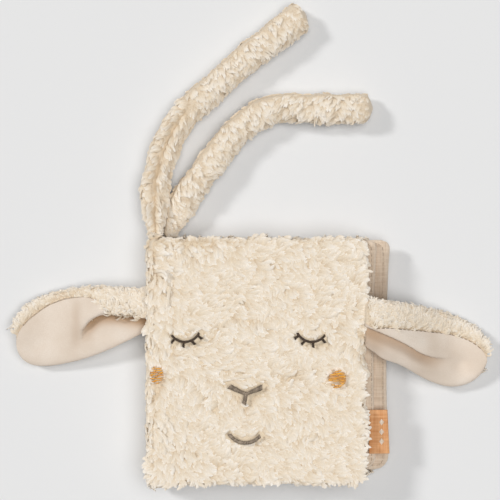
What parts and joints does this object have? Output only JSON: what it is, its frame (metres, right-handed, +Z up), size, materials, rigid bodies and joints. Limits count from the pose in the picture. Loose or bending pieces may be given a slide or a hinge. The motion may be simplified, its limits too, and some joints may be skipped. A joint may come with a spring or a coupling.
{
  "type": "soft sensory book",
  "caption": "Soft cloth book with a furry cover that is a sleepy sheep face, with floppy ears, padded linen pages and long plush ties.",
  "frame": {"origin": "on the flat underside of the back cover, at the middle of the closed book's width and height, with the book lying on its back", "axes": "+X from the spine to the free edges, +Y towards the top of the face and the ties, +Z up out of the front cover"},
  "size_m": [0.2872, 0.2917, 0.0327],
  "materials": {
    "plush": "deep curly pile",
    "velour": "short smooth nap",
    "linen": "plain weave",
    "page_linen": "plain weave",
    "dark_thread": "satin stitch",
    "grey_thread": "satin stitch",
    "orange_thread": "satin stitch",
    "ribbon": "woven ribbon",
    "wadding": "soft wadding"
  },
  "bodies": {
    "back_cover": {"back_plush": "plush", "back_padding": "wadding", "back_lining": "linen", "spine_plush": "plush", "left_ear_plush": "plush", "left_ear_velour": "velour", "tie_upper": "plush", "tie_lower": "plush"},
    "page_block": {"pages": "page_linen"},
    "front_cover": {"front_plush": "plush", "front_padding": "wadding", "front_lining": "linen", "eye_left": "dark_thread", "eye_right": "dark_thread", "nose": "grey_thread", "mouth": "grey_thread", "cheek_left": "orange_thread", "cheek_right": "orange_thread", "label": "ribbon", "right_ear_plush": "plush", "right_ear_velour": "velour"}
  },
  "joints": [
    {"name": "back_cover_hinge", "type": "hinge", "parent": "back_cover", "child": "page_block", "pos_m": [-0.068, 0, 0.027], "axis": [0, -1, 0], "range_deg": [0, 180]},
    {"name": "front_cover_hinge", "type": "hinge", "parent": "page_block", "child": "front_cover", "pos_m": [-0.068, 0, 0.027], "axis": [0, -1, 0], "range_deg": [0, 180]}
  ]
}
